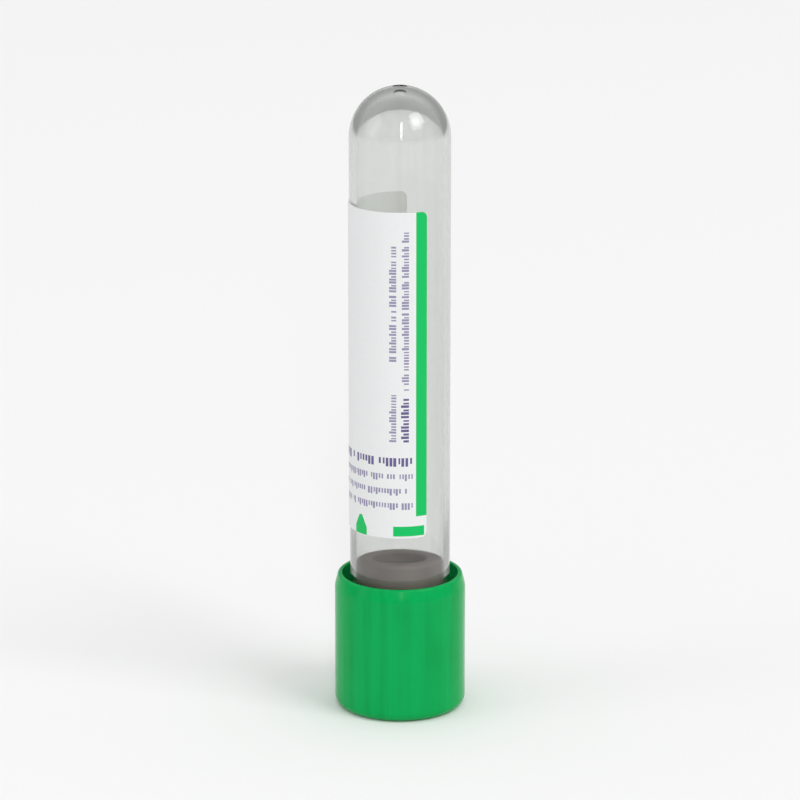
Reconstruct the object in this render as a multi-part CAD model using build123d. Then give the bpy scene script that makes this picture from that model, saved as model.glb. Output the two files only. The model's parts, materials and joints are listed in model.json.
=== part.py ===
from build123d import *
import os
from math import degrees

# Evacuated blood collection tube with its safety closure, in millimetres.
# Each piece is drawn the right way up about the Z axis: the tube's round bottom touches z = 0, the closure
# is at the top and the middle of the print faces -Y. The round bottom can't stand and the barrel rolls, so
# the finished pieces are then turned over to stand on the closure's flat top, with the print still to -Y.

# Tube: injection-moulded, with a bottom that is thicker than the wall and bears the gate's mark.
tube_od = 13.0
tube_length = 75.0
mouth_wall = 1.0
bottom_wall = 1.3
lip_chamfer = 0.25
gate_mark_radius = 0.9
gate_mark_depth = 0.15

# Stopper: a moulded rubber plug, flange and boss in one piece.
plug_length = 13.1
plug_clearance = 0.03
seal_height = 2.6
waist_relief = 0.3
waist_slope = 0.5
plug_nose = 0.6
plug_wall = 2.1
hollow_depth = 8.5
hollow_chamfer = 1.2
flange_thickness = 2.6
flange_clearance = 0.1
boss_lap = 1.9
flange_chamfer = 0.5
target_margin = 0.6
target_slope = 1.6
target_depth = 0.5

# Shield: a moulded cap over the stopper, with a skirt down the outside of the tube.
skirt_gap = 1.0
skirt_wall = 1.0
skirt_overlap = 10.5
shield_height = 18.0
plate_thickness = 1.2
port_radius = 3.7
port_chamfer = 0.3
top_round = 1.3
foot_height = 1.7
foot_taper = 0.45
collar_wall = 0.9
collar_depth = 1.6
collar_clearance = 0.1
bead_height = 0.8
rib_count = 12
rib_width = 0.7
rib_setback = 1.2
running_gap = 0.3

# Label: paper, wrapped part of the way round the tube.
label_width = 25.0
label_height = 43.0
label_thickness = 0.1
label_glue = 0.02
label_corner = 0.8
label_drop = 6.6
label_start_deg = -31.0

# Levels and radii that the pieces share.
tube_radius = tube_od / 2
bore_radius = tube_radius - mouth_wall
lip_level = tube_length
shield_bore = tube_radius + skirt_gap
shield_radius = shield_bore + skirt_wall
skirt_level = lip_level - skirt_overlap
top_level = skirt_level + shield_height
plate_level = top_level - plate_thickness
boss_radius = port_radius + boss_lap
foot_level = skirt_level + foot_height
label_level = skirt_level - label_drop


def turned(*outline):
    """A solid of revolution about the Z axis, from a closed outline of radius and height."""
    return revolve(Plane.XZ * make_face(outline), Axis.Z)


def make_tube():
    """The open tube: outer barrel and round bottom, less the bore and the shallow gate mark."""
    gate_mark = make_cylinder(gate_mark_radius, -gate_mark_depth, gate_mark_depth)
    return make_barrel(tube_radius, 0, -lip_chamfer) - make_barrel(bore_radius, bottom_wall, lip_chamfer) - gate_mark


def make_barrel(radius, bottom_level, lip_flare):
    """A round-bottomed form up to the lip, where its radius changes by the flare over the lip's chamfer."""
    return turned(
        CenterArc((0, bottom_level + radius), radius, -90, 90),
        Polyline(
            (radius, bottom_level + radius),
            (radius, lip_level - lip_chamfer),
            (radius + lip_flare, lip_level),
            (0, lip_level),
            (0, bottom_level),
        ),
    )


def make_stopper():
    """Rubber stopper: two seals round a relieved waist, a flange on the lip and a boss under the plate."""
    seal = bore_radius - plug_clearance
    waist = seal - waist_relief
    flange = shield_bore - flange_clearance
    nose = lip_level - plug_length
    lower_seal = nose + plug_nose + seal_height
    upper_seal = lip_level - seal_height
    flange_top = lip_level + flange_thickness
    body = turned(
        Polyline(
            (0, nose),
            (seal - plug_nose, nose),
            (seal, nose + plug_nose),
            (seal, lower_seal),
            (waist, lower_seal + waist_slope),
            (waist, upper_seal - waist_slope),
            (seal, upper_seal),
            (seal, lip_level),
            (flange, lip_level),
            (flange, flange_top - flange_chamfer),
            (flange - flange_chamfer, flange_top),
            (boss_radius, flange_top),
            (boss_radius, plate_level),
            (0, plate_level),
            (0, nose),
        )
    )
    return body - make_hollow(nose, seal - plug_wall) - make_target()


def make_hollow(nose, radius):
    """The hollow in the plug's underside, which lets the rubber squeeze into the bore."""
    return turned(
        Polyline(
            (0, nose),
            (radius, nose),
            (radius, nose + hollow_depth - hollow_chamfer),
            (radius - hollow_chamfer, nose + hollow_depth),
            (0, nose + hollow_depth),
            (0, nose),
        )
    )


def make_target():
    """The shallow dish in the boss where the needle goes in."""
    rim = port_radius - target_margin
    return turned(
        Polyline(
            (0, plate_level),
            (rim, plate_level),
            (rim - target_slope, plate_level - target_depth),
            (0, plate_level - target_depth),
            (0, plate_level),
        )
    )


def make_shield():
    """Shield: a hollow cap with a needle port, a collar for the boss, a bead under the flange and ribs."""
    shell = make_shell()
    collar_bore = boss_radius + collar_clearance
    collar = make_ring(collar_bore, collar_bore + collar_wall, plate_level - collar_depth, plate_level)
    return shell + collar + make_bead() + make_ribs()


def make_shell():
    """The shield's outer form, with its tapered foot and rounded top, less the port and the bore."""
    outside = turned(
        Polyline(
            (0, skirt_level),
            (shield_radius - foot_taper, skirt_level),
            (shield_radius, foot_level),
            (shield_radius, top_level),
            (0, top_level),
            (0, skirt_level),
        )
    )
    outside = fillet(outside.edges().group_by(Axis.Z)[-1], top_round)
    bore = make_cylinder(shield_bore, skirt_level, plate_level)
    return outside - bore - make_port()


def make_port():
    """The needle port through the top plate, with a chamfered upper edge."""
    return turned(
        Polyline(
            (0, plate_level),
            (port_radius, plate_level),
            (port_radius, top_level - port_chamfer),
            (port_radius + port_chamfer, top_level),
            (0, top_level),
            (0, plate_level),
        )
    )


def make_bead():
    """The inward bead that the flange snaps over, level with the lip and sloped below for moulding."""
    inner = tube_radius + running_gap
    depth = shield_bore - inner
    wall = shield_bore + skirt_wall / 2
    return turned(
        Polyline(
            (inner, lip_level),
            (inner, lip_level - bead_height),
            (shield_bore, lip_level - bead_height - depth),
            (wall, lip_level - bead_height - depth),
            (wall, lip_level),
            (inner, lip_level),
        )
    )


def make_ribs():
    """Upright ribs inside the skirt that keep the shield centred on the tube, with a sloped lead-in."""
    inner = tube_radius + running_gap
    depth = shield_bore - inner
    wall = shield_bore + skirt_wall / 2
    low = skirt_level + rib_setback
    high = lip_level - bead_height
    outline = make_face(
        Polyline((wall, low), (shield_bore, low), (inner, low + depth), (inner, high), (wall, high), (wall, low))
    )
    rib = extrude(Plane.XZ * outline, amount=rib_width / 2, both=True)
    return [Rot(Z=360 * turn / rib_count) * rib for turn in range(rib_count)]


def make_label():
    """Paper label: a thin sheet round part of the barrel, with rounded corners."""
    inner = tube_radius + label_glue
    sweep_deg = degrees(label_width / inner)
    low = label_level - label_height
    front_deg = -90
    section = Pos(inner + label_thickness / 2, low + label_height / 2) * Rectangle(label_thickness, label_height)
    sheet = revolve(Plane.XZ * section, Axis.Z, revolution_arc=sweep_deg)
    sheet = Rot(Z=front_deg + label_start_deg) * sheet
    corners = sheet.edges().filter_by(lambda edge: abs(edge.length - label_thickness) < 0.001)
    return fillet(corners, label_corner)


def make_cylinder(radius, low, high):
    """An upright cylinder on the axis between two levels."""
    return Pos(0, 0, (low + high) / 2) * Cylinder(radius, high - low)


def make_ring(inner, outer, low, high):
    """An upright ring on the axis between two levels."""
    return make_cylinder(outer, low, high) - make_cylinder(inner, low, high)


def stood_on_closure(piece):
    """The piece turned over, so that the closure's flat top rests on z = 0."""
    return Pos(0, 0, top_level) * Rot(Y=180) * piece


pieces = {
    "tube": make_tube(),
    "stopper": make_stopper(),
    "shield": make_shield(),
    "label": make_label(),
}

os.makedirs("parts", exist_ok=True)
for node, piece in pieces.items():
    export_step(stood_on_closure(piece), os.path.join("parts", node + ".step"))
    print(node, round(piece.volume, 2), "mm3")
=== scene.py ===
# %% [markdown]
# # A blood collection tube, stood on its closure
#
# The part is a clear, round-bottomed tube of moulded plastic. A rubber stopper plugs its mouth, and a green
# safety shield covers the stopper and reaches down over the tube. A paper label goes part of the way round.
# The round end can't stand and a barrel rolls, so the tube stands on the flat top of its closure.
#
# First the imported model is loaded. It is the fixed frame: every piece below takes its size and place from it.

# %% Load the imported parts
import json
import math

import bmesh
import bpy
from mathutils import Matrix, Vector


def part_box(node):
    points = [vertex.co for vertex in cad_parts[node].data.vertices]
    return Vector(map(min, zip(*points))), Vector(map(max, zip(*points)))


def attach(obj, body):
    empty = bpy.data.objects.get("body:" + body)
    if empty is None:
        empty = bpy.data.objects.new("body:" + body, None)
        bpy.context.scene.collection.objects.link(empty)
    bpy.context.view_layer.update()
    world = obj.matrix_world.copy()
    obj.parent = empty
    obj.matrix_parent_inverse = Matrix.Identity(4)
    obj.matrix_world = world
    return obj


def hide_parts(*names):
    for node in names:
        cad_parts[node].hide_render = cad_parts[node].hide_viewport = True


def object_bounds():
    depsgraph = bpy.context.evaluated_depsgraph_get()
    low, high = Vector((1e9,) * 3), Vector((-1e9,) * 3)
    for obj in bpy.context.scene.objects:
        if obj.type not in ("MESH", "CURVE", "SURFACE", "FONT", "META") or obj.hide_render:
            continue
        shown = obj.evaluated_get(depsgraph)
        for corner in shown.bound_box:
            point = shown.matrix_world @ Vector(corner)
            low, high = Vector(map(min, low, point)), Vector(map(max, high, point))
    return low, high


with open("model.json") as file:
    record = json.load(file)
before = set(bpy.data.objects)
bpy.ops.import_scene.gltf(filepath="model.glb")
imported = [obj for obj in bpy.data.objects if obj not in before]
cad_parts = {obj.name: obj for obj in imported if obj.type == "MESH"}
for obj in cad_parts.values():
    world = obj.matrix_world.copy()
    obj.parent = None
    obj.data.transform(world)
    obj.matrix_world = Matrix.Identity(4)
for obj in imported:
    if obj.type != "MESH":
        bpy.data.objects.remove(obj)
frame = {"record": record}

MM = 0.001
cad_low, cad_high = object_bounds()
print("CAD box in mm:", [round(side / MM, 2) for side in cad_high - cad_low])

# %% [markdown]
# Moulded parts are easiest to think about in millimetres, while the scene is in metres. The sizes that other
# things have to fit come from the record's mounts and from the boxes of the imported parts, so that the new
# pieces can't drift away from them. Levels are heights above the floor that the closure stands on.

# %% Sizes that the record gives
mounts = {mount["name"]: mount for mount in frame["record"]["mounts"]}
tube_radius = mounts["tube_seat"]["dims"]["r_mm"]
tube_end = mounts["tube_seat"]["pos_m"][2] / MM
shield_radius = mounts["closure_outside"]["dims"]["r_mm"]
port_radius = mounts["needle_port"]["dims"]["r_mm"]
print("radius of the tube", tube_radius, "shield", shield_radius, "port", port_radius)

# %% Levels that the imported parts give
stopper_low, stopper_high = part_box("stopper")
label_low, label_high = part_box("label")
lip_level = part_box("tube")[0].z / MM
skirt_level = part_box("shield")[1].z / MM
plate_level = stopper_low.z / MM
nose_level = stopper_high.z / MM
label_near = label_low.z / MM
label_far = label_high.z / MM
print("plate at", round(plate_level, 2), "and lip at", round(lip_level, 2))
print("skirt's edge at", round(skirt_level, 2), "and plug's nose at", round(nose_level, 2))
print("label from", round(label_near, 2), "to", round(label_far, 2))

# %% [markdown]
# ## The clear barrel
#
# The barrel is one skin: up the outside from the round bottom, over the lip and back along the bore. Both
# walls have to be there, because clear plastic shows its own thickness, most of all at its edges. It could be
# an outer shell with a Solidify modifier, but the bottom is thicker than the wall, so both are worked out.
# The hemispheres are arcs in the section. At the pole is the small flat dimple that the moulding gate leaves.

# %% Work out the barrel's half-section
MOUTH_WALL, BOTTOM_WALL = 1.0, 1.3
GATE_RADIUS, GATE_DEPTH = 0.9, 0.15
ARC_STEPS = 40
bore_radius = tube_radius - MOUTH_WALL
outer_middle = tube_end - tube_radius
inner_middle = tube_end - BOTTOM_WALL - bore_radius
gate_level = tube_end - GATE_DEPTH
gate_angle = math.degrees(math.acos(GATE_RADIUS / tube_radius))


def arc(radius, middle_level, start, end):
    """Corners on an arc about the axis, between two angles above the horizontal."""
    angles = [math.radians(start + (end - start) * step / ARC_STEPS) for step in range(ARC_STEPS + 1)]
    return [(radius * math.cos(angle), middle_level + radius * math.sin(angle)) for angle in angles]


barrel_section = [(0, gate_level), (GATE_RADIUS, gate_level)]
barrel_section += arc(tube_radius, outer_middle, gate_angle, 0)
barrel_section += [(tube_radius, lip_level), (bore_radius, lip_level)]
barrel_section += arc(bore_radius, inner_middle, 0, 90)
print("the barrel's section has", len(barrel_section), "corners")

# %% [markdown]
# Nearly everything here is the same all the way round. Such a piece could be a stack of cylinders, but then
# its lips and corners never meet cleanly. Drawing half of its section and spinning that round the axis gives
# one closed skin, with even faces that shade and refract smoothly.
#
# The section starts as a plane that is merged to one vertex, and is then extruded from corner to corner.

# %% Draw the section
def start_section(name):
    """A new object at the origin in edit mode, holding one vertex."""
    bpy.ops.object.select_all(action="DESELECT")
    bpy.ops.mesh.primitive_plane_add(size=MM, calc_uvs=False, enter_editmode=True, location=(0, 0, 0))
    piece = bpy.context.object
    piece.name = piece.data.name = name
    bpy.ops.mesh.select_mode(type="VERT")
    bpy.ops.mesh.select_all(action="SELECT")
    bpy.ops.mesh.merge(type="CENTER")
    return piece


def draw_section(corners):
    """Move the one vertex to the first corner, and extrude it to each of the others."""
    here = Vector((0, 0, 0))
    for number, (radius, level) in enumerate(corners):
        there = Vector((radius * MM, 0, level * MM))
        if number == 0:
            bpy.ops.transform.translate(value=there - here)
        else:
            bpy.ops.mesh.extrude_vertices_move(TRANSFORM_OT_translate={"value": there - here})
        here = there


barrel = start_section("clear_barrel")
draw_section(barrel_section)
print("the drawing has", len(bmesh.from_edit_mesh(barrel.data).edges), "edges")

# %% [markdown]
# The spin leaves a seam where it ends, and a bunch of vertices wherever the section touches the axis. Merging
# what lies in the same place closes both. A spin can also turn a skin inside out, so the normals are worked
# out again after that.

# %% Spin it into a closed skin
TURN_STEPS = 192
MERGE = 1e-6


def merge_all():
    """Merge the vertices that meet, and leave everything selected."""
    bpy.ops.mesh.select_all(action="SELECT")
    bpy.ops.mesh.remove_doubles(threshold=MERGE)
    bpy.ops.mesh.select_all(action="SELECT")


def spin_section():
    """Spin the section that is open in edit mode right round the axis, and close it."""
    merge_all()
    bpy.ops.mesh.spin(steps=TURN_STEPS, angle=math.tau, center=(0, 0, 0), axis=(0, 0, 1))
    merge_all()
    bpy.ops.mesh.normals_make_consistent(inside=False)
    bpy.ops.object.mode_set(mode="OBJECT")


spin_section()
print(barrel.name, "is spun in", TURN_STEPS, "steps")

# %% [markdown]
# A piece is measured as soon as it is made. A closed skin has two faces at every edge, and a volume above
# zero says that its faces point outwards. Clear plastic needs both, or light goes astray in it.

# %% Measure the barrel
def report(piece):
    """Print how large a piece is and whether its skin is closed."""
    mesh = bmesh.new()
    mesh.from_mesh(piece.data)
    open_edges = sum(1 for edge in mesh.edges if len(edge.link_faces) != 2)
    volume = mesh.calc_volume(signed=True) / MM**3
    print(piece.name, len(mesh.faces), "faces,", open_edges, "open edges,", round(volume, 1), "mm3")
    mesh.free()


report(barrel)

# %% [markdown]
# A moulded corner is never sharp. Rather than drawing each rounding into the section, the sharp ring is
# picked out afterwards by its radius and level, and bevelled. That keeps the section readable, and the
# roundings can be changed one at a time.

# %% Pick out a ring of edges
RING_SLACK = 0.01


def edit(piece):
    """Make a piece the only selected one and open it in edit mode."""
    bpy.ops.object.select_all(action="DESELECT")
    piece.select_set(True)
    bpy.context.view_layer.objects.active = piece
    bpy.ops.object.mode_set(mode="EDIT")


def pick_edges(piece, wanted):
    """In edit mode, select only the edges whose two ends, in millimetres, pass a test."""
    mesh = bmesh.from_edit_mesh(piece.data)
    for face in mesh.faces:
        face.select_set(False)
    for edge in mesh.edges:
        edge.select_set(wanted([vertex.co / MM for vertex in edge.verts]))
    bmesh.update_edit_mesh(piece.data)
    return sum(edge.select for edge in mesh.edges)


def on_ring(ends, radius, level):
    """Whether both ends of an edge are at that radius and level."""
    off = [max(abs(math.hypot(end.x, end.y) - radius), abs(end.z - level)) for end in ends]
    return max(off) < RING_SLACK


edit(barrel)
bpy.ops.mesh.select_mode(type="EDGE")
print("edges round the lip:", pick_edges(barrel, lambda ends: on_ring(ends, tube_radius, lip_level)))
bpy.ops.object.mode_set(mode="OBJECT")

# %% Round the barrel's rings
LIP_ROUND, GATE_ROUND = 0.24, 0.05


def round_rings(piece, rings):
    """Bevel rings of edges, each given as (radius, level, size of rounding, segments)."""
    edit(piece)
    bpy.ops.mesh.select_mode(type="EDGE")
    for radius, level, size, segments in rings:
        found = pick_edges(piece, lambda ends: on_ring(ends, radius, level))
        if found != TURN_STEPS:
            print("ring not found:", piece.name, radius, level, found)
        bpy.ops.mesh.bevel(offset=size * MM, offset_type="OFFSET", segments=segments, profile=0.5)
    bpy.ops.object.mode_set(mode="OBJECT")
    print(piece.name, "has", len(rings), "rounded rings")


round_rings(barrel, [
    (tube_radius, lip_level, LIP_ROUND, 4),
    (bore_radius, lip_level, LIP_ROUND, 4),
    (GATE_RADIUS, gate_level, GATE_ROUND, 2),
])

# %% [markdown]
# Flat faces would show the spin's steps, and more steps would only make them finer. Smooth shading hides
# them. It would also smear light round a real corner, so edges that turn by more than a set angle stay sharp.

# %% Shade the barrel
SHARP_ANGLE = math.radians(40)


def smooth(piece):
    """Shade a piece smooth, apart from the edges that turn by more than the sharp angle."""
    bpy.ops.object.select_all(action="DESELECT")
    piece.select_set(True)
    bpy.context.view_layer.objects.active = piece
    bpy.ops.object.shade_smooth_by_angle(angle=SHARP_ANGLE)


smooth(barrel)
report(barrel)

# %% [markdown]
# ## The rubber stopper
#
# One moulding of rubber does three jobs: two swollen bands seal the bore, a flange rests on the lip, and a
# boss fills the gap to the shield's plate, where the needle goes through. The plug is hollow so that it can
# squeeze. It could be built up from rings and a cup, but rubber is moulded in one, so it is turned like the
# barrel: from the dished target on the boss round to the roof of the hollow.

# %% Sizes of the stopper
SEAL_HEIGHT, SEAL_GAP = 2.6, 0.03
WAIST_RELIEF, WAIST_SLOPE = 0.3, 0.5
NOSE_ROUND, PLUG_WALL = 0.6, 2.1
FLANGE_THICKNESS, BOSS_LAP = 2.6, 1.9
TARGET_MARGIN, TARGET_SLOPE, TARGET_DEPTH = 0.6, 1.6, 0.5
HOLLOW_DEPTH = 8.5
seal_radius = bore_radius - SEAL_GAP
waist_radius = seal_radius - WAIST_RELIEF
hollow_radius = seal_radius - PLUG_WALL
flange_radius = stopper_high.x / MM
boss_radius = port_radius + BOSS_LAP
rim_radius = port_radius - TARGET_MARGIN
dish_radius = rim_radius - TARGET_SLOPE
print("seals", round(seal_radius, 2), "waist", round(waist_radius, 2), "hollow", round(hollow_radius, 2))
print("flange", round(flange_radius, 2), "boss", round(boss_radius, 2), "target's rim", round(rim_radius, 2))

# %% Levels of the stopper
flange_level = lip_level - FLANGE_THICKNESS
dish_level = plate_level + TARGET_DEPTH
upper_band = lip_level + SEAL_HEIGHT
lower_band = nose_level - NOSE_ROUND - SEAL_HEIGHT
waist_top = upper_band + WAIST_SLOPE
waist_end = lower_band - WAIST_SLOPE
roof_level = nose_level - HOLLOW_DEPTH
print("waist from", round(waist_top, 2), "to", round(waist_end, 2), "and hollow from", round(roof_level, 2))

# %% Spin the stopper
def turned(name, corners):
    """A closed piece from its half-section, a list of (radius, level) in millimetres."""
    piece = start_section(name)
    draw_section(corners)
    spin_section()
    return piece


stopper = turned("rubber_stopper", [
    (0, dish_level),
    (dish_radius, dish_level),
    (rim_radius, plate_level),
    (boss_radius, plate_level),
    (boss_radius, flange_level),
    (flange_radius, flange_level),
    (flange_radius, lip_level),
    (seal_radius, lip_level),
    (seal_radius, upper_band),
    (waist_radius, waist_top),
    (waist_radius, waist_end),
    (seal_radius, lower_band),
    (seal_radius, nose_level),
    (hollow_radius, nose_level),
    (hollow_radius, roof_level),
    (0, roof_level),
])
report(stopper)

# %% [markdown]
# Rubber flows round every corner of its mould and pulls out of it without harm, so its edges are softer than
# those of the stiff parts. The nose and the hollow's roof are rounded most.

# %% Round the stopper
HOLLOW_ROUND, MOUTH_ROUND, BAND_ROUND = 1.2, 0.3, 0.2
FLANGE_ROUND, DISH_ROUND = 0.5, 0.5

round_rings(stopper, [
    (seal_radius, nose_level, NOSE_ROUND, 6),
    (hollow_radius, nose_level, MOUTH_ROUND, 4),
    (hollow_radius, roof_level, HOLLOW_ROUND, 6),
    (seal_radius, upper_band, BAND_ROUND, 3),
    (seal_radius, lower_band, BAND_ROUND, 3),
    (waist_radius, waist_top, BAND_ROUND, 3),
    (waist_radius, waist_end, BAND_ROUND, 3),
    (flange_radius, flange_level, FLANGE_ROUND, 5),
    (dish_radius, dish_level, DISH_ROUND, 4),
])
smooth(stopper)
report(stopper)

# %% [markdown]
# ## The safety shield
#
# The shield is a stiff moulding, open at the skirt. It could be a cup with a Solidify modifier, but its wall
# is nowhere the same for long, so it is turned too. Its section runs from the needle port over the flat top,
# round the broad shoulder and along the side to the tapered foot. Then it goes back inside: along the bore,
# over the bead that holds the stopper's flange, round the collar that centres the boss, and along the plate
# to the port. It stands upside down here, so its flat top is on the floor and the skirt opens upwards.

# %% Sizes of the shield
SKIRT_WALL, FOOT_HEIGHT, FOOT_TAPER = 1.0, 1.7, 0.45
COLLAR_WALL, COLLAR_DEPTH, COLLAR_GAP = 0.9, 1.6, 0.1
BEAD_HEIGHT, RUNNING_GAP = 0.8, 0.3
skirt_bore = shield_radius - SKIRT_WALL
foot_radius = shield_radius - FOOT_TAPER
bead_radius = tube_radius + RUNNING_GAP
bead_depth = skirt_bore - bead_radius
collar_bore = boss_radius + COLLAR_GAP
collar_radius = collar_bore + COLLAR_WALL
print("skirt's bore", skirt_bore, "and bead", bead_radius)
print("collar from", round(collar_bore, 2), "to", round(collar_radius, 2))

# %% Spin the shield
foot_level = skirt_level - FOOT_HEIGHT
bead_level = lip_level + BEAD_HEIGHT
collar_level = plate_level + COLLAR_DEPTH

shield = turned("safety_shield", [
    (port_radius, plate_level),
    (port_radius, 0),
    (shield_radius, 0),
    (shield_radius, foot_level),
    (foot_radius, skirt_level),
    (skirt_bore, skirt_level),
    (skirt_bore, bead_level + bead_depth),
    (bead_radius, bead_level),
    (bead_radius, lip_level),
    (skirt_bore, lip_level),
    (skirt_bore, plate_level),
    (collar_radius, plate_level),
    (collar_radius, collar_level),
    (collar_bore, collar_level),
    (collar_bore, plate_level),
    (port_radius, plate_level),
])
report(shield)

# %% [markdown]
# The shoulder is a broad rounding that the thumb meets, and gets the most segments. The foot, the skirt's
# edge and the port are only softened, as a mould's polished corners leave them.

# %% Round the shield
TOP_ROUND, PORT_ROUND, FOOT_ROUND, EDGE_ROUND = 1.3, 0.3, 0.35, 0.25
BORE_ROUND, BEAD_ROUND, COLLAR_ROUND = 0.15, 0.15, 0.2

round_rings(shield, [
    (shield_radius, 0, TOP_ROUND, 12),
    (port_radius, 0, PORT_ROUND, 5),
    (shield_radius, foot_level, FOOT_ROUND, 6),
    (foot_radius, skirt_level, EDGE_ROUND, 5),
    (skirt_bore, skirt_level, BORE_ROUND, 4),
    (bead_radius, bead_level, BEAD_ROUND, 3),
    (collar_radius, collar_level, COLLAR_ROUND, 3),
    (collar_bore, collar_level, COLLAR_ROUND, 3),
])
report(shield)

# %% [markdown]
# ### Ribs in the skirt
#
# Twelve thin ribs inside the skirt keep the shield centred on the tube. They show in the gap between the
# skirt and the barrel. They could be extruded from the wall's own faces, but those fan out, and a rib's sides
# are parallel. All twelve are alike, so one is modelled and copied. It starts as a cube stretched to the
# rib's size. The vertices at its free inner end are then slid down, so that the slope leads the tube in.

# %% Add one rib
RIB_COUNT, RIB_WIDTH, RIB_SETBACK, RIB_ROOT = 12, 0.7, 1.2, 0.5
rib_low = bead_level
rib_high = skirt_level - RIB_SETBACK
rib_outer = skirt_bore + RIB_ROOT

bpy.ops.object.select_all(action="DESELECT")
bpy.ops.mesh.primitive_cube_add(
    size=MM,
    calc_uvs=False,
    location=((bead_radius + rib_outer) / 2 * MM, 0, (rib_low + rib_high) / 2 * MM),
    scale=(rib_outer - bead_radius, RIB_WIDTH, rib_high - rib_low),
)
rib = bpy.context.object
rib.name = "rib"
bpy.ops.object.transform_apply(location=True, rotation=True, scale=True)
print("rib from", round(rib_low, 2), "to", round(rib_high, 2))

# %% Slope its free end
edit(rib)
bpy.ops.mesh.select_mode(type="VERT")
rib_mesh = bmesh.from_edit_mesh(rib.data)
for vertex in rib_mesh.verts:
    place = vertex.co / MM
    vertex.select_set(place.x < skirt_bore and place.z > rib_high - RIB_SETBACK)
rib_mesh.select_flush_mode()
bmesh.update_edit_mesh(rib.data)
bpy.ops.transform.translate(value=(0, 0, -bead_depth * MM))
print("free end slopes by", round(bead_depth, 2), "mm")

# %% Round its two inner edges
RIB_ROUND, RIB_SEGMENTS = 0.15, 3


def runs_inside(ends):
    """Whether an edge of the rib runs lengthwise on its inner face."""
    return all(end.x < skirt_bore for end in ends) and abs(ends[0].y - ends[1].y) < RING_SLACK


bpy.ops.mesh.select_mode(type="EDGE")
print("edges rounded:", pick_edges(rib, runs_inside))
bpy.ops.mesh.bevel(offset=RIB_ROUND * MM, offset_type="OFFSET", segments=RIB_SEGMENTS, profile=0.5)
bpy.ops.object.mode_set(mode="OBJECT")
report(rib)

# %% Copy it round the bore and join all twelve
ribs = [rib]
for number in range(1, RIB_COUNT):
    bpy.ops.object.select_all(action="DESELECT")
    rib.select_set(True)
    bpy.context.view_layer.objects.active = rib
    bpy.ops.object.duplicate(linked=False)
    turn = math.tau * number / RIB_COUNT
    bpy.ops.transform.rotate(value=turn, orient_axis="Z", center_override=(0, 0, 0))
    ribs.append(bpy.context.object)

bpy.ops.object.select_all(action="DESELECT")
for each in ribs:
    each.select_set(True)
shield.select_set(True)
bpy.context.view_layer.objects.active = shield
bpy.ops.object.join()
smooth(shield)
report(shield)

# %% [markdown]
# ## The paper label
#
# The label is a real sheet that is wrapped round the tube, so it is modelled that way. It could be cut from a
# cylinder, but a flat sheet gives the print its straight coordinates for nothing. A plane gets its size and
# rounded corners, and cuts across it give it enough columns to bend.

# %% Cut the flat sheet
LABEL_WIDTH, LABEL_CORNER, CORNER_SEGMENTS = 25.0, 0.8, 6
LABEL_COLUMNS = 80
label_length = label_far - label_near

bpy.ops.object.select_all(action="DESELECT")
bpy.ops.mesh.primitive_plane_add(size=MM, calc_uvs=True, rotation=(math.radians(90), 0, 0))
label = bpy.context.object
label.name = label.data.name = "paper_label"
bpy.ops.object.transform_apply(location=True, rotation=True, scale=True)
bpy.ops.object.mode_set(mode="EDIT")
bpy.ops.mesh.select_mode(type="VERT")
bpy.ops.mesh.select_all(action="SELECT")
bpy.ops.transform.resize(value=(LABEL_WIDTH, 1, label_length))
corner = LABEL_CORNER * MM
bpy.ops.mesh.bevel(offset=corner, offset_type="OFFSET", segments=CORNER_SEGMENTS, affect="VERTICES")
for column in range(1, LABEL_COLUMNS):
    bpy.ops.mesh.select_all(action="SELECT")
    cut = (column / LABEL_COLUMNS - 0.5) * LABEL_WIDTH * MM
    bpy.ops.mesh.bisect(plane_co=(cut, 0, 0), plane_no=(1, 0, 0))
bpy.ops.object.mode_set(mode="OBJECT")
print("sheet", LABEL_WIDTH, "by", round(label_length, 2), "mm in", len(label.data.polygons), "faces")

# %% [markdown]
# The print's coordinates run in the sheet itself: across from the edge with the stripe, and along from the
# edge beside the closure. They are set while the sheet is flat, and the bend carries them along.

# %% Lay out the print's coordinates
flat_uv = label.data.uv_layers[0]
flat_uv_name = flat_uv.name
for loop in label.data.loops:
    place = label.data.vertices[loop.vertex_index].co / MM
    flat_uv.data[loop.index].uv = (0.5 - place.x / LABEL_WIDTH, 0.5 + place.z / label_length)
print("print is laid out on", flat_uv_name)

# %% [markdown]
# The bend rolls the sheet to the tube's radius, about its own middle. It is then pushed out to the tube and
# turned round it, to where the striped edge belongs.

# %% Roll the label round the tube
LABEL_GLUE, LABEL_START = 0.02, math.radians(-31.0)
label_inner = tube_radius + LABEL_GLUE
label_arc = LABEL_WIDTH / label_inner
label_middle = (label_near + label_far) / 2

roll = label.modifiers.new("roll", "SIMPLE_DEFORM")
roll.deform_method = "BEND"
roll.deform_axis = "Z"
roll.angle = label_arc
bpy.ops.object.modifier_apply(modifier=roll.name)

bpy.ops.object.mode_set(mode="EDIT")
bpy.ops.mesh.select_all(action="SELECT")
bpy.ops.transform.translate(value=(0, -label_inner * MM, label_middle * MM))
label_turn = label_arc / 2 + LABEL_START
bpy.ops.transform.rotate(value=label_turn, orient_axis="Z", center_override=(0, 0, 0))
bpy.ops.object.mode_set(mode="OBJECT")
print("the label wraps", round(math.degrees(label_arc)), "degrees of the tube")

# %% [markdown]
# Last, the sheet gets the thickness of paper. It could be extruded, but a Solidify modifier sorts the
# materials too. The outer face keeps the first one, for the print. The face against the tube and the cut
# edges take the second, which is bare paper.

# %% Give the label its thickness
LABEL_THICKNESS = 0.1

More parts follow.
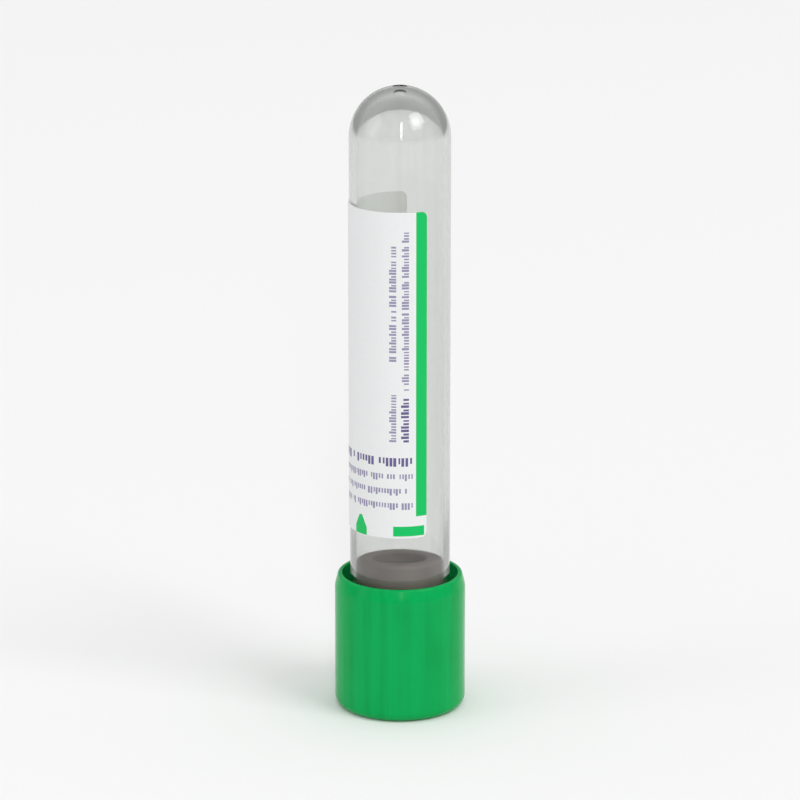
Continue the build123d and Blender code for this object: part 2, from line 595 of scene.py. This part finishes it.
label.data.materials.append(None)
label.data.materials.append(None)
paper = label.modifiers.new("paper", "SOLIDIFY")
paper.thickness = LABEL_THICKNESS * MM
paper.offset = 1
paper.material_offset = 1
paper.material_offset_rim = 1
bpy.ops.object.modifier_apply(modifier=paper.name)
smooth(label)
report(label)
reach = [math.hypot(vertex.co.x, vertex.co.y) / MM for vertex in label.data.vertices]
print("label's radius from", round(min(reach), 3), "to", round(max(reach), 3))

# %% [markdown]
# ## Clear plastic
#
# A finish is a small network of nodes. Values that are the same all over are set on the main shader's own
# sockets, and only what varies over the surface is worked out by nodes.
#
# The barrel is clear polyester: it bends light more than glass does, and it is faintly grey. It could be a
# thin see-through skin, but then the round bottom and the lip wouldn't bend what is behind them. Both walls
# are modelled, so it can be a true refracting solid.

# %% Start the clear plastic
def new_material(name, **constants):
    """A material with its main shader's unvarying values set on the shader's own sockets."""
    made = bpy.data.materials.new(name)
    made.use_nodes = True
    shader = made.node_tree.nodes["Principled BSDF"]
    for socket, value in constants.items():
        shader.inputs[socket.replace("_", " ")].default_value = value
    return made, made.node_tree, shader


clear, tree, shader = new_material("clear_polyester", Transmission_Weight=1.0, IOR=1.57)
barrel.data.materials.append(clear)
print(barrel.name, "is", clear.name)

# %% [markdown]
# No moulded surface is even. Noise laid out in millimetres on the piece itself gives haze, streaks, waves and
# dust, stretched along the axis where the mould leaves draw lines. It could be a painted picture instead, but
# noise has no seam and never repeats. Its first use is a trace of haze: a little roughness in broad patches.

# %% Haze
HAZE_SCALE, HAZE_STRETCH = 0.12, (1, 1, 6)
CLEAREST, HAZIEST = 0.02, 0.09


def add(tree, kind, inputs=(), **settings):
    """Add a node. Inputs are (socket, value or another node's output)."""
    made = tree.nodes.new("ShaderNode" + kind)
    for name, value in settings.items():
        setattr(made, name, value)
    for socket, value in inputs:
        if isinstance(value, bpy.types.NodeSocket):
            tree.links.new(value, made.inputs[socket])
        else:
            made.inputs[socket].default_value = value
    return made


def grain(tree, scale, stretch=(1, 1, 1), detail=3.0):
    """Noise on the piece's own coordinates, scaled per millimetre and stretched along an axis."""
    place = add(tree, "TexCoord").outputs["Object"]
    size = [scale / MM / by for by in stretch]
    place = add(tree, "Mapping", [("Vector", place), ("Scale", size)]).outputs[0]
    return add(tree, "TexNoise", [("Vector", place), ("Scale", 1.0), ("Detail", detail)]).outputs[0]


def ramp(tree, value, low, high, from_low=0.3, from_high=0.7):
    """Spread a value between two numbers. Noise seldom leaves 0.3 to 0.7, so that is what is spread."""
    span = [("From Min", from_low), ("From Max", from_high), ("To Min", low), ("To Max", high)]
    return add(tree, "MapRange", [("Value", value), *span]).outputs[0]


haze = grain(tree, HAZE_SCALE, HAZE_STRETCH)
tree.links.new(ramp(tree, haze, CLEAREST, HAZIEST), shader.inputs["Roughness"])
print("haze gives a roughness from", CLEAREST, "to", HAZIEST)

# %% [markdown]
# The plastic flows up the mould and sets in long streaks, some a little greyer than others, so what is behind
# the wall looks faintly streaky too. Two tints are blended by noise that is stretched along the tube.

# %% Streaks
STREAK_SCALE, STREAK_STRETCH, STREAK_DETAIL = 0.8, (1, 1, 60), 2.0
STREAK_DARK, STREAK_CLEAR = (0.935, 0.945, 0.94), (0.995, 1.0, 0.995)


def blend_colours(tree, share, first, second):
    """Mix two colours by a share. The node has them at inputs 6 and 7, and the result at output 2."""
    mix = add(tree, "Mix", data_type="RGBA")
    for socket, value in ((0, share), (6, first), (7, second)):
        if isinstance(value, bpy.types.NodeSocket):
            tree.links.new(value, mix.inputs[socket])
        else:
            mix.inputs[socket].default_value = (*value, 1) if socket else value
    return mix.outputs[2]


streaks = ramp(tree, grain(tree, STREAK_SCALE, STREAK_STRETCH, STREAK_DETAIL), 0, 1)
tree.links.new(blend_colours(tree, streaks, STREAK_DARK, STREAK_CLEAR), shader.inputs["Base Color"])
print("streaks tint the light between", STREAK_DARK, "and", STREAK_CLEAR)

# %% [markdown]
# The outside is never dead straight either. Long shallow waves run up it, and make the highlights waver. They
# could be modelled, but they are only hundredths of a millimetre high. So the faces stay plain, and a height
# worked out from noise tilts the light on them.

# %% Waves
WAVE_SCALE, WAVE_STRETCH, WAVE_DETAIL = 0.5, (1, 1, 40), 1.0
WAVE_HEIGHT, WAVE_STRENGTH = 0.02, 0.6


def raise_surface(tree, shader, height, distance, strength):
    """Feed a height to the shader's normal. The distance is in millimetres."""
    bump = add(tree, "Bump", [("Height", height), ("Distance", distance * MM), ("Strength", strength)])
    tree.links.new(bump.outputs[0], shader.inputs["Normal"])


waves = grain(tree, WAVE_SCALE, WAVE_STRETCH, WAVE_DETAIL)
raise_surface(tree, shader, waves, WAVE_HEIGHT, WAVE_STRENGTH)
print("waves are", WAVE_HEIGHT, "mm high")

# %% [markdown]
# Lamps don't reach through a refracting shell in a simple render, so rays that only ask whether a lamp is
# visible pass straight through it. Most of the grey is taken up inside the wall and isn't a tint of its skin,
# so it deepens where the wall is seen edge-on.

# %% Let lamps through, and grey the wall
GREY_TINT, GREY_DENSITY = (0.81, 0.82, 0.80, 1), 620.0
PASSING_TINT = (0.97, 0.975, 0.97, 1)

output = tree.nodes["Material Output"]
lamp_ray = add(tree, "LightPath").outputs["Is Shadow Ray"]
passing = add(tree, "BsdfTransparent", [("Color", PASSING_TINT)]).outputs[0]
skin = add(tree, "MixShader", [(0, lamp_ray), (1, shader.outputs[0]), (2, passing)]).outputs[0]
tree.links.new(skin, output.inputs["Surface"])
depth = add(tree, "VolumeAbsorption", [("Color", GREY_TINT), ("Density", GREY_DENSITY)]).outputs[0]
tree.links.new(depth, output.inputs["Volume"])
print("the wall greys light by a density of", GREY_DENSITY)

# %% [markdown]
# ## Green plastic
#
# The shield is a satin polyethylene, coloured through. The tool leaves fine lines along the draw, and the
# surface is a little waxy: light goes in a short way and comes out softened. One flat green would look like
# paint, so three near greens are blended by the lines and by broad clouds.

# %% Colours of the green plastic
DEEP_GREEN, DRAWN_GREEN, CLOUD_GREEN = (0.001, 0.325, 0.068), (0.002, 0.405, 0.096), (0.002, 0.42, 0.10)
DRAW_SCALE, DRAW_STRETCH = 1.0, (1, 1, 30)
CLOUD_SCALE, CLOUD_SHARE = 0.18, 0.5
WAX_SHARE, WAX_DEPTH = 0.05, 0.8

green, tree, shader = new_material(
    "green_polyethylene",
    IOR=1.5,
    Specular_IOR_Level=0.10,
    Subsurface_Weight=WAX_SHARE,
    Subsurface_Scale=WAX_DEPTH * MM,
)
draw_lines = grain(tree, DRAW_SCALE, DRAW_STRETCH)
clouds = grain(tree, CLOUD_SCALE)
colour = blend_colours(tree, ramp(tree, draw_lines, 0, 1), DEEP_GREEN, DRAWN_GREEN)
colour = blend_colours(tree, ramp(tree, clouds, 0, CLOUD_SHARE), colour, CLOUD_GREEN)
tree.links.new(colour, shader.inputs["Base Color"])
shield.data.materials.append(green)
print(shield.name, "is", green.name)

# %% Satin of the green plastic
SATIN_LOW, SATIN_HIGH = 0.15, 0.24
DRAW_HEIGHT, DRAW_STRENGTH = 0.01, 0.5

tree.links.new(ramp(tree, clouds, SATIN_LOW, SATIN_HIGH), shader.inputs["Roughness"])
raise_surface(tree, shader, draw_lines, DRAW_HEIGHT, DRAW_STRENGTH)
print("draw lines are", DRAW_HEIGHT, "mm high, roughness", SATIN_LOW, "to", SATIN_HIGH)

# %% [markdown]
# ## Rubber
#
# The stopper is a grey-brown rubber, matt and slightly uneven, with a dusting of release agent. Two near
# browns are blended in patches, and a fine noise lays the paler dust over them and roughens the surface. One
# brown with a rough surface would do from afar, but close up it would look like card.

# %% Colours of the rubber
DARK_RUBBER, PALE_RUBBER, DUST = (0.150, 0.122, 0.114), (0.190, 0.156, 0.146), (0.27, 0.235, 0.225)
PATCH_SCALE, DUST_SCALE, DUST_DETAIL = 0.5, 7.0, 4.0
DUST_SHARE, DUST_STARTS, DUST_FULL = 0.5, 0.4, 0.75

rubber, tree, shader = new_material("grey_rubber", IOR=1.5)
patches = ramp(tree, grain(tree, PATCH_SCALE), 0, 1)
dust = grain(tree, DUST_SCALE, detail=DUST_DETAIL)
dusting = ramp(tree, dust, 0, DUST_SHARE, DUST_STARTS, DUST_FULL)
colour = blend_colours(tree, patches, DARK_RUBBER, PALE_RUBBER)
tree.links.new(blend_colours(tree, dusting, colour, DUST), shader.inputs["Base Color"])
stopper.data.materials.append(rubber)
print(stopper.name, "is", rubber.name)

# %% Roughness of the rubber
RUBBER_LOW, RUBBER_HIGH = 0.55, 0.72
DUST_HEIGHT, DUST_STRENGTH = 0.02, 0.5

tree.links.new(ramp(tree, dust, RUBBER_LOW, RUBBER_HIGH), shader.inputs["Roughness"])
raise_surface(tree, shader, dust, DUST_HEIGHT, DUST_STRENGTH)
print("dust is", DUST_HEIGHT, "mm high, roughness", RUBBER_LOW, "to", RUBBER_HIGH)

# %% [markdown]
# ## Printed paper
#
# The print is drawn by the material on the label's flat coordinates, in millimetres: across from the striped
# edge and along from the edge beside the closure. It could be a picture, but then it would blur close up and
# would have to travel with the part. Each field of colour is worked out from its four edges instead.

# %% Fields of colour
STRIPE_WIDTH, STRIPE_START = 1.48, 2.9
BAR_LEFT, BAR_RIGHT, BAR_NEAR, BAR_FAR = 0.34, 4.4, 0.28, 1.60


def calc(tree, operation, *values):
    """One step of arithmetic."""
    return add(tree, "Math", enumerate(values), operation=operation).outputs[0]


def field(tree, across, along, left, right, near, far):
    """1 inside a rectangle of the label, and 0 outside."""
    wide = calc(tree, "COMPARE", across, (left + right) / 2, (right - left) / 2)
    tall = calc(tree, "COMPARE", along, (near + far) / 2, (far - near) / 2)
    return calc(tree, "MULTIPLY", wide, tall)


printed, tree, shader = new_material("printed_paper", IOR=1.45, Roughness=0.42, Specular_IOR_Level=0.28)
flat = add(tree, "SeparateXYZ", [(0, add(tree, "UVMap", uv_map=flat_uv_name).outputs[0])])
across = calc(tree, "MULTIPLY", flat.outputs[0], LABEL_WIDTH)
along = calc(tree, "MULTIPLY", flat.outputs[1], label_length)
stripe = field(tree, across, along, -1, STRIPE_WIDTH, STRIPE_START, label_length + 1)
bar = field(tree, across, along, BAR_LEFT, BAR_RIGHT, BAR_NEAR, BAR_FAR)
print("stripe and bar on", printed.name)

# %% [markdown]
# A small green wedge starts at the edge beside the closure. Its sides run straight at first and then close
# in to a blunt tip. It could be a plain triangle, but then it would lose its shoulders. So its half width is
# held for a while and shrinks after that.

# %% The wedge
WEDGE_MIDDLE, WEDGE_HALF, WEDGE_TIP, WEDGE_SHOULDER, WEDGE_LENGTH = 9.15, 1.05, 0.25, 1.0, 2.6

half_width = ramp(tree, along, WEDGE_HALF, WEDGE_TIP, WEDGE_SHOULDER, WEDGE_LENGTH)
aside = calc(tree, "ABSOLUTE", calc(tree, "SUBTRACT", across, WEDGE_MIDDLE))
wedge = calc(tree, "LESS_THAN", aside, half_width)
wedge = calc(tree, "MULTIPLY", wedge, calc(tree, "LESS_THAN", along, WEDGE_LENGTH))
greens = calc(tree, "MAXIMUM", calc(tree, "MAXIMUM", stripe, bar), wedge)
print("wedge", WEDGE_LENGTH, "mm long")

# %% [markdown]
# The lines of small print are rows of short bars with uneven heights and gaps, which stand for words and
# spell nothing. Each cell of a row draws one random number, and that decides whether it is inked, how wide
# its bar is and how tall. The numbers come from the cell's own place, so they are the same each time.

# %% Where the lines of print go
PALE_HEIGHT, PALE_PITCH = 0.90, 0.38

# Each line is: run, side, start, end, foot, height, pitch. With a negative height its bars reach backwards.
pale_lines = (
    (across, along, 1.85, 20.8, 4.75, -PALE_HEIGHT, PALE_PITCH),
    (across, along, 1.85, 22.4, 6.68, -PALE_HEIGHT, PALE_PITCH),
    (across, along, 1.85, 18.6, 8.62, -PALE_HEIGHT, PALE_PITCH),
    (along, across, 19.6, 40.6, 2.4, PALE_HEIGHT, PALE_PITCH),
    (along, across, 12.8, 19.2, 4.0, PALE_HEIGHT, PALE_PITCH),
    (along, across, 23.6, 39.0, 4.0, PALE_HEIGHT, PALE_PITCH),
)
bold_lines = (
    (across, along, 1.8, 19.6, 10.80, -1.15, 0.50),
    (along, across, 12.8, 18.9, 2.4, 1.0, 0.46),
)
print(len(pale_lines), "pale lines and", len(bold_lines), "bold ones")

# %% Print the lines
# Shares of the cells, then of a cell's width, then of the line's height.
BLANK_SHARE, TALL_SHARE = 0.12, 0.7
NARROW_BAR, WIDE_BAR, WIDENING_STARTS = 0.45, 0.80, 0.2
LOW_SHARE, EXTRA_SHARE = 0.7, 0.3
ROW_SEED = 31.7


def print_line(tree, run, side, start, end, foot, height, pitch):
    """A row of bars along run, all standing on the foot line."""
    step = calc(tree, "DIVIDE", run, pitch)
    cell = calc(tree, "FLOOR", step)
    seed = calc(tree, "ADD", cell, ROW_SEED * foot + start)
    chance = add(tree, "TexWhiteNoise", [("W", seed)], noise_dimensions="1D").outputs[0]
    inked = calc(tree, "GREATER_THAN", chance, BLANK_SHARE)
    bar_width = ramp(tree, chance, NARROW_BAR, WIDE_BAR, WIDENING_STARTS, 1.0)
    solid = calc(tree, "LESS_THAN", calc(tree, "FRACT", step), bar_width)
    extra = calc(tree, "MULTIPLY", calc(tree, "GREATER_THAN", chance, TALL_SHARE), abs(height) * EXTRA_SHARE)
    tall = calc(tree, "ADD", extra, abs(height) * LOW_SHARE)
    rise = calc(tree, "MULTIPLY", calc(tree, "SUBTRACT", side, foot), math.copysign(1, height))
    above = calc(tree, "GREATER_THAN", rise, 0)
    below = calc(tree, "LESS_THAN", rise, tall)
    middle_cell = (start + end) / 2 / pitch - 0.5
    inside = calc(tree, "COMPARE", cell, middle_cell, (end - start) / 2 / pitch)
    ink = calc(tree, "MULTIPLY", calc(tree, "MULTIPLY", inked, solid), calc(tree, "MULTIPLY", above, below))
    return calc(tree, "MULTIPLY", ink, inside)


pale_ink = bold_ink = 0.0
for line in pale_lines:
    pale_ink = calc(tree, "MAXIMUM", pale_ink, print_line(tree, *line))
for line in bold_lines:
    bold_ink = calc(tree, "MAXIMUM", bold_ink, print_line(tree, *line))
print("bars fill", NARROW_BAR, "to", WIDE_BAR, "of their cells")

# %% [markdown]
# Under the ink is coated paper, off white and not quite even, because its fibres show as a faint mottle. One
# flat white would do, but it would look like plastic. The greens go on first, as one layer, and the two inks
# of the small print over them.

# %% Ink on paper
PAPER_DARK, PAPER_LIGHT = (0.80, 0.81, 0.815), (0.84, 0.85, 0.855)
GREEN_INK, PALE_INK, BOLD_INK = (0.001, 0.53, 0.12), (0.30, 0.27, 0.42), (0.14, 0.11, 0.27)
FIBRE_SCALE, FIBRE_DETAIL = 7.0, 4.0
FIBRE_HEIGHT, FIBRE_STRENGTH = 0.01, 0.4

fibre = grain(tree, FIBRE_SCALE, detail=FIBRE_DETAIL)
colour = blend_colours(tree, ramp(tree, fibre, 0, 1), PAPER_DARK, PAPER_LIGHT)
colour = blend_colours(tree, greens, colour, GREEN_INK)
colour = blend_colours(tree, pale_ink, colour, PALE_INK)
colour = blend_colours(tree, bold_ink, colour, BOLD_INK)
tree.links.new(colour, shader.inputs["Base Color"])
raise_surface(tree, shader, fibre, FIBRE_HEIGHT, FIBRE_STRENGTH)
label.data.materials[0] = printed
print(label.name, "is", printed.name, "outside")

# %% [markdown]
# The gummed back of the paper never sees ink. It shows through the clear wall on the far side of the tube.
# Thin paper lets light through, so the back is lit from both sides. It could be a see-through shader, but
# paper scatters light and shows no shapes through it. So light wanders in it a short way before it comes out.
# Its colour is also set paler than the printed side's paper. That is painted light, which lightens the back
# where it lies in the shade of the tube.

# %% Gummed back
GUM_DEPTH = 0.5
# Both gum tones are paler than the printed paper: painted light on the back, which lies in the tube's shade.
PAINTED_LIGHT_GUM_DARK, PAINTED_LIGHT_GUM_LIGHT = (0.92, 0.92, 0.90), (0.96, 0.96, 0.94)
GUM_SCALE = 1.4

gummed, tree, shader = new_material(
    "gummed_paper",
    IOR=1.45,
    Roughness=0.5,
    Subsurface_Weight=1.0,
    Subsurface_Radius=(1, 1, 1),
    Subsurface_Scale=GUM_DEPTH * MM,
)
mottle = ramp(tree, grain(tree, GUM_SCALE, detail=FIBRE_DETAIL), 0, 1)
tree.links.new(blend_colours(tree, mottle, PAINTED_LIGHT_GUM_DARK, PAINTED_LIGHT_GUM_LIGHT), shader.inputs["Base Color"])
label.data.materials[1] = gummed
print(label.name, "is", gummed.name, "inside")

# %% [markdown]
# ## Bodies
#
# The barrel and its label are one moving body, and the shield and its stopper are the other. Each new piece
# stands for the imported part of the same form.

# %% Ride on the bodies, and hide the imported parts
for piece, body, node, slot in (
    (barrel, "barrel", "tube", "clear_plastic"),
    (label, "barrel", "label", "label_paper"),
    (shield, "closure", "shield", "green_plastic"),
    (stopper, "closure", "stopper", "stopper_rubber"),
):
    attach(piece, body)
    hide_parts(node)
    print(piece.name, "rides on", body, "and stands for", node)

# %% [markdown]
# ## Floor
#
# The tube stands on a wide, pale, matt floor that runs out behind it, so there is no corner in view. It
# could be a curved sheet, but the camera looks down enough for a flat one to fill the view. It is staging and
# not part of the object. It is a little off white, so that the shadow of the tube still shows on it, and it
# has no gloss, so that it looks the same from every side.

# %% Lay the floor
FLOOR_SIZE, FLOOR_GREY = 8.0, (0.9, 0.9, 0.9, 1)

bpy.ops.object.select_all(action="DESELECT")
bpy.ops.mesh.primitive_plane_add(size=FLOOR_SIZE, location=(0, 0, 0))
floor = bpy.context.object
floor.name = "floor"
pale = new_material("pale_floor", Base_Color=FLOOR_GREY, Roughness=1.0, Specular_IOR_Level=0.0)[0]
floor.data.materials.append(pale)
print("floor", FLOOR_SIZE, "m square")

# %% [markdown]
# ## Light
#
# Clear plastic shows what surrounds it more than what shines on it, so most of the light comes from a white
# world. It could be the same all round, but then the clear dome would have no outline. So it is dimmer near
# the horizon, which draws the grey line round the dome. Straight behind the floor it is as pale as the floor,
# and clear plastic sees it a little paler than gloss does. Standard view keeps colours as they are written.

# %% A white world that is dimmer low down
WORLD_LOW, WORLD_HIGH, WORLD_SEEN, WORLD_THROUGH = 0.3, 0.92, 0.9, 0.45
HORIZON, OVERHEAD = 0.0, 0.9

bpy.context.scene.view_settings.view_transform = "Standard"
world = bpy.data.worlds.new("studio")
world.use_nodes = True
bpy.context.scene.world = world
tree = world.node_tree
sky = tree.nodes["Background"]
sky.inputs["Color"].default_value = (1, 1, 1, 1)
upward = add(tree, "SeparateXYZ", [(0, add(tree, "TexCoord").outputs["Generated"])]).outputs[2]
strength = ramp(tree, upward, WORLD_LOW, WORLD_HIGH, HORIZON, OVERHEAD)
ray = add(tree, "LightPath").outputs
seen = calc(tree, "MULTIPLY", ray["Is Camera Ray"], WORLD_SEEN)
through = calc(tree, "MULTIPLY", ray["Is Transmission Ray"], WORLD_THROUGH)
strength = calc(tree, "MAXIMUM", strength, calc(tree, "MAXIMUM", seen, through))
tree.links.new(strength, sky.inputs["Strength"])
print("world strength", WORLD_LOW, "at the horizon and", WORLD_HIGH, "overhead")

# %% [markdown]
# Three soft lamps do the rest. A large key on one side gives the shadow and the form, a dimmer fill keeps the
# other side open, and a narrow upright strip in front leaves the thin highlights that glossy mouldings show.
# They stand well back, so that the floor is lit evenly.

# %% Soft lamps
middle = (cad_low + cad_high) / 2


def soft_light(name, place, width, height, power):
    """An area lamp that faces the middle of the object, with its size in metres and its power in watts."""
    lamp = bpy.data.lights.new(name, "AREA")
    lamp.shape = "RECTANGLE"
    lamp.size = width
    lamp.size_y = height
    lamp.energy = power
    stand = bpy.data.objects.new(name, lamp)
    bpy.context.scene.collection.objects.link(stand)
    stand.location = place
    stand.rotation_euler = (middle - Vector(place)).to_track_quat("-Z", "Y").to_euler()
    print(name, "lamp", power, "W")


soft_light("key", place=(3.45, -2.55, 4.35), width=2.85, height=2.85, power=106.0)
soft_light("fill", place=(-4.5, -1.5, 2.25), width=2.4, height=4.2, power=28.8)
soft_light("strip", place=(0.15, -2.7, 1.5), width=0.21, height=1.8, power=13.5)

# %% [markdown]
# ## Camera
#
# The camera looks a little down on the tube, as one looks at a rack on a bench, and straight at the middle of
# the print. Its lens follows from how much of the frame's height the tube should fill.

# %% Set the camera
CAMERA_DISTANCE, CAMERA_ELEVATION = 0.55, math.radians(16.2)
FRAME_SHARE = 0.80

camera_data = bpy.data.cameras.new("camera")
camera = bpy.data.objects.new("camera", camera_data)
bpy.context.scene.collection.objects.link(camera)
bpy.context.scene.camera = camera
away = Vector((0, -math.cos(CAMERA_ELEVATION), math.sin(CAMERA_ELEVATION)))
camera.location = middle + away * CAMERA_DISTANCE
camera.rotation_euler = (-away).to_track_quat("-Z", "Y").to_euler()
tall = cad_high.z - cad_low.z
camera_data.lens = camera_data.sensor_width * CAMERA_DISTANCE * FRAME_SHARE / tall
print("lens", round(camera_data.lens), "mm")
